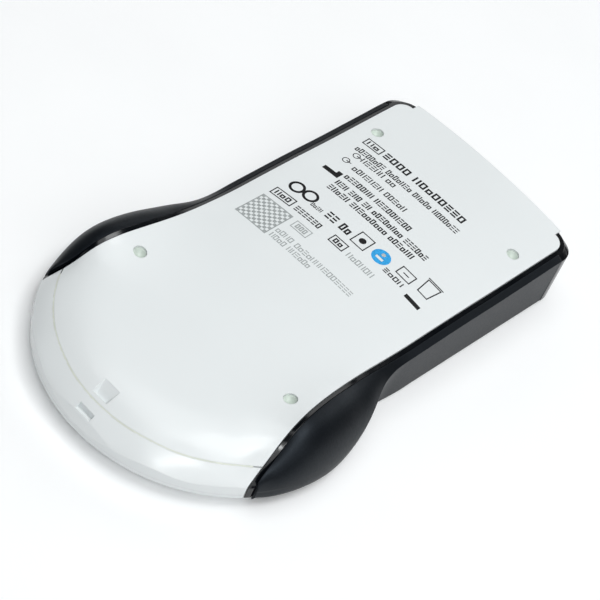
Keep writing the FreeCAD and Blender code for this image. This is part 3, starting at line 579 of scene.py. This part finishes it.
def dished_plug(name, x, y, plane):
    """A round dished plug that closes a screw well a little below the cover."""
    mesh = bmesh.new()
    deepest = plane(x, y) - PLUG_EDGE - PLUG_DISH
    upper = mesh.verts.new((x, y, deepest))
    lower = mesh.verts.new((x, y, deepest - PLUG_T))
    circles = []
    for k in range(1, PLUG_RINGS + 1):
        share = k / PLUG_RINGS
        circle = []
        for j in range(PLUG_STEPS):
            turn = 2 * math.pi * j / PLUG_STEPS
            px = x + PLUG_R * share * math.cos(turn)
            py = y + PLUG_R * share * math.sin(turn)
            circle.append(mesh.verts.new((px, py, plane(px, py) - PLUG_EDGE - PLUG_DISH * (1 - share ** 2))))
        circles.append(circle)
    foot = []
    for vertex in circles[-1]:
        foot.append(mesh.verts.new((vertex.co.x, vertex.co.y, lower.co.z)))
    for j in range(PLUG_STEPS):
        nxt = (j + 1) % PLUG_STEPS
        mesh.faces.new((upper, circles[0][j], circles[0][nxt]))
        mesh.faces.new((lower, foot[nxt], foot[j]))
        mesh.faces.new((circles[-1][nxt], circles[-1][j], foot[j], foot[nxt]))
        for inner, outer in zip(circles, circles[1:]):
            mesh.faces.new((inner[j], outer[j], outer[nxt], inner[nxt]))
    # the plug's finish is white plastic made darker and greener: painted shade of the well
    data = solid_mesh(name, mesh, FINISHES["plug_white_painted_shade"])
    data.shade_smooth()
    plug = add_object(name, data)
    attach(plug, "housing")


def add_plugs(height):
    """One plug in each of the four screw wells."""
    for label, (x, y) in WELLS.items():
        for side, name in ((-1, "left"), (1, "right")):
            px = side * x * MM
            py = y * MM
            dished_plug(f"plug_{name}_{label}", px, py, local_plane(height, px, py, WELL_RIM))


GROOVE_Y = -26.3 * MM     # centre of the groove's arc, on the middle line
GROOVE_R = 36.825 * MM
GROOVE_DEPTH = 0.03 * MM
GROOVE_WIDTH = 0.34 * MM
GROOVE_HALF_TURN = 58.0   # degrees each side of straight towards the head
GROOVE_STEPS = 90
PROBE = 0.4 * MM          # the cover's height is taken one and two of these inside the groove


def groove_shade_strip(height):
    """The groove before the head end cover, filled with a pale grey-green strip along the cover's slope:
    painted shade that stands for the groove's shadow line.
    """

    def sunk(x, y):
        reach = Vector((x, y - GROOVE_Y))
        radius = reach.length
        near = reach * ((GROOVE_R - PROBE) / radius)
        far = reach * ((GROOVE_R - 2 * PROBE) / radius)
        level = height(near.x, near.y + GROOVE_Y)
        slope = (level - height(far.x, far.y + GROOVE_Y)) / PROBE
        return level + slope * (radius - GROOVE_R + PROBE) - GROOVE_DEPTH

    sheet = Sheet(sunk)
    start = -90.0 - GROOVE_HALF_TURN
    sheet.arc((0, GROOVE_Y), GROOVE_R, GROOVE_WIDTH, start, 2 * GROOVE_HALF_TURN, GROOVE_STEPS)
    # the strip's finish paints the groove's shadow line in pale grey-green: painted shade
    sheet.piece("groove_shade_strip", "housing", FINISHES["groove_painted_shade"])


# ---------------------------------------------------------------- keys and display

SIGN_LINE = 0.4 * MM


def key_sign(sheet, node, at):
    """A ring with a bar for power, a square, three bars, or a triangle that points up or down."""
    if node == "key_power":
        sheet.arc(at(0, 0), 1.5 * MM, SIGN_LINE, 120.0, 300.0)
        sheet.stroke(at(0, 0.4), at(0, 2.1), SIGN_LINE)
    elif node == "key_select":
        sheet.outline(box_corners(at, 1.6, 1.6), SIGN_LINE)
    elif node == "key_program":
        for level in (-1.2, 0.0, 1.2):
            sheet.stroke(at(-1.8, level), at(1.8, level), 0.45 * MM)
    else:
        way = 1 if node.endswith("up") else -1
        sheet.patch([at(-1.8, -way * 1.2), at(1.8, -way * 1.2), at(0, way * 1.8)])


def key_signs():
    """A plain light sign on each key's outer face, which looks down."""
    for node in frame["nodes"]:
        if not node.startswith("key_"):
            continue
        low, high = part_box(node)
        x = (low[0] + high[0]) / 2 / MM
        y = (low[1] + high[1]) / 2 / MM
        sheet = Sheet(lambda px, py, z=low[2]: z, -1)
        key_sign(sheet, node, Tilted(x, y, 0.0))
        sheet.piece("sign_" + node, node, FINISHES["ink_white"])


# The bars that a nought lights in a seven-segment figure, one unit being half its height.
NOUGHT = (
    ((-0.5, 1.0), (0.5, 1.0)),
    ((0.5, 1.0), (0.5, 0.0)),
    ((0.5, 0.0), (0.5, -1.0)),
    ((-0.5, -1.0), (0.5, -1.0)),
    ((-0.5, 0.0), (-0.5, -1.0)),
    ((-0.5, 1.0), (-0.5, 0.0)),
)
FIGURE_HALF = 3.6         # half the height of a figure, in millimetres
FIGURE_PLACES = (-12.5, -6.5, 6.5, 12.5)
FIGURE_DROP = 4.0         # the figures stand this much below the window's middle
BAR_GAP = 0.55            # gap at each end of a bar


def nought(sheet, at):
    for start, end in NOUGHT:
        a = Vector(start) * FIGURE_HALF
        b = Vector(end) * FIGURE_HALF
        gap = (b - a).normalized() * BAR_GAP
        sheet.stroke(at(*(a + gap)), at(*(b - gap)), 0.75 * MM)


def charge_gauge(sheet, at):
    """A small cell with three bars in it."""
    sheet.outline(box_corners(at, 3.0, 1.5), 0.35 * MM)
    sheet.stroke(at(3.5, -0.7), at(3.5, 0.7), 0.5 * MM)
    for x in (-1.9, 0.0, 1.9):
        sheet.stroke(at(x, -0.9), at(x, 0.9), 1.2 * MM)


def display_figures():
    """Figures on the display glass: a pair of noughts for each channel, a charge gauge and a rule."""
    glass_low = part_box("lcd_glass")[0]
    low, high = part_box("display_window")
    x = (low[0] + high[0]) / 2 / MM
    y = (low[1] + high[1]) / 2 / MM
    sheet = Sheet(lambda px, py: glass_low[2], -1)
    for place in FIGURE_PLACES:
        nought(sheet, Tilted(x + place, y - FIGURE_DROP, 0.0))
    charge_gauge(sheet, Tilted(x, y + 11.0, 0.0))
    rule = Tilted(x, y + 6.0, 0.0)
    sheet.stroke(rule(-16.0, 0), rule(16.0, 0), 0.3 * MM)
    sheet.piece("display_figures", "housing", FINISHES["ink_black"])


def add_details():
    """The plugs, the groove's strip of painted shade, and all printing on the back, the keys and the display
    glass.
    """
    height = cover_heights()
    dice = random.Random(7)
    print_black(height, dice)
    print_grey(height, dice)
    print_blue(height)
    add_plugs(height)
    groove_shade_strip(height)
    key_signs()
    display_figures()


# ---------------------------------------------------------------- stage, lights, camera

FLOOR_HALF = 2.5
FLOOR_DROP = 0.15 * MM    # keeps the floor just clear of the resting face
FLOOR_GLOW = 0.08


def add_floor():
    """A plain pale floor with a faint glow of its own."""
    mesh = bpy.data.meshes.new("floor")
    corners = [(-FLOOR_HALF, -FLOOR_HALF, 0), (FLOOR_HALF, -FLOOR_HALF, 0),
               (FLOOR_HALF, FLOOR_HALF, 0), (-FLOOR_HALF, FLOOR_HALF, 0)]
    mesh.from_pydata(corners, [], [(0, 1, 2, 3)])
    floor = add_object("floor", mesh)
    floor.location = (0, 0, -FLOOR_DROP)
    mat, shader = new_material("floor_paper", (0.93, 0.935, 0.94), 0.9)
    vary_colour(mat, shader, 30.0, (0.925, 0.93, 0.935), (0.94, 0.945, 0.95))
    shader.inputs["Emission Color"].default_value = (1, 1, 1, 1)
    shader.inputs["Emission Strength"].default_value = FLOOR_GLOW
    mesh.materials.append(mat)


# name, place, width and height, watts
PANELS = (
    ("key", (0.62, -0.56, 0.90), (1.00, 0.80), 4.0),
    ("overhead", (0.32, 0.06, 1.20), (0.70, 0.56), 4.7),
    ("spot", (0.42, 0.14, 1.00), (0.28, 0.07), 0.6),
    ("spot_low", (0.34, -0.45, 0.70), (0.12, 0.14), 0.8),
    ("top", (-0.12, 0.04, 1.20), (0.95, 0.95), 4.8),
    ("right_high", (1.10, 0.0, 0.60), (0.60, 0.50), 1.2),
    ("back", (0.0, 1.20, 0.60), (0.70, 0.50), 3.0),
    ("back_left", (-1.00, 1.06, 0.70), (0.90, 0.50), 1.5),
    ("left", (-1.10, -0.10, 0.60), (0.60, 0.50), 0.3),
)
PANEL_TINT = (0.98, 0.995, 1.0)
WORLD_TINT = (0.92, 0.97, 1.0, 1.0)
WORLD_STRENGTH = 0.02


def add_panel(name, position, size, power):
    """A soft rectangular light that faces the origin."""
    light = bpy.data.lights.new(name, "AREA")
    light.shape = "RECTANGLE"
    light.size, light.size_y = size
    light.energy = power
    light.color = PANEL_TINT
    lamp = add_object(name, light)
    lamp.location = position
    lamp.rotation_euler = (-Vector(position)).to_track_quat("-Z", "Y").to_euler()


def add_lights():
    """Soft panels all round, the strongest overhead and by the camera's right, in a nearly dark room."""
    world = bpy.data.worlds.new("studio")
    bpy.context.scene.world = world
    world.use_nodes = True
    background = world.node_tree.nodes["Background"]
    background.inputs["Color"].default_value = WORLD_TINT
    background.inputs["Strength"].default_value = WORLD_STRENGTH
    for panel in PANELS:
        add_panel(*panel)


CAMERA_PLACE = (0.15859, -0.30170, 0.33840)
CAMERA_RIGHT = (0.6834, 0.6710, 0.2876)     # direction of the picture's right
CAMERA_BACK = (0.3305, -0.6356, 0.6977)     # direction from the object to the camera
CAMERA_LENS = 124.58
CAMERA_SENSOR = 36.0


def add_camera():
    camera = bpy.data.cameras.new("camera")
    camera.lens = CAMERA_LENS
    camera.sensor_width = CAMERA_SENSOR
    camera.clip_start = 0.01
    camera.clip_end = 20.0
    holder = add_object("camera", camera)
    right = Vector(CAMERA_RIGHT).normalized()
    back = Vector(CAMERA_BACK).normalized()
    up = back.cross(right).normalized()
    right = up.cross(back)
    turn = Matrix((right, up, back)).transposed().to_4x4()
    holder.matrix_world = Matrix.Translation(CAMERA_PLACE) @ turn
    bpy.context.scene.camera = holder


bpy.context.scene.view_settings.view_transform = "Standard"
finish_frame()
add_details()
add_floor()
add_lights()
add_camera()
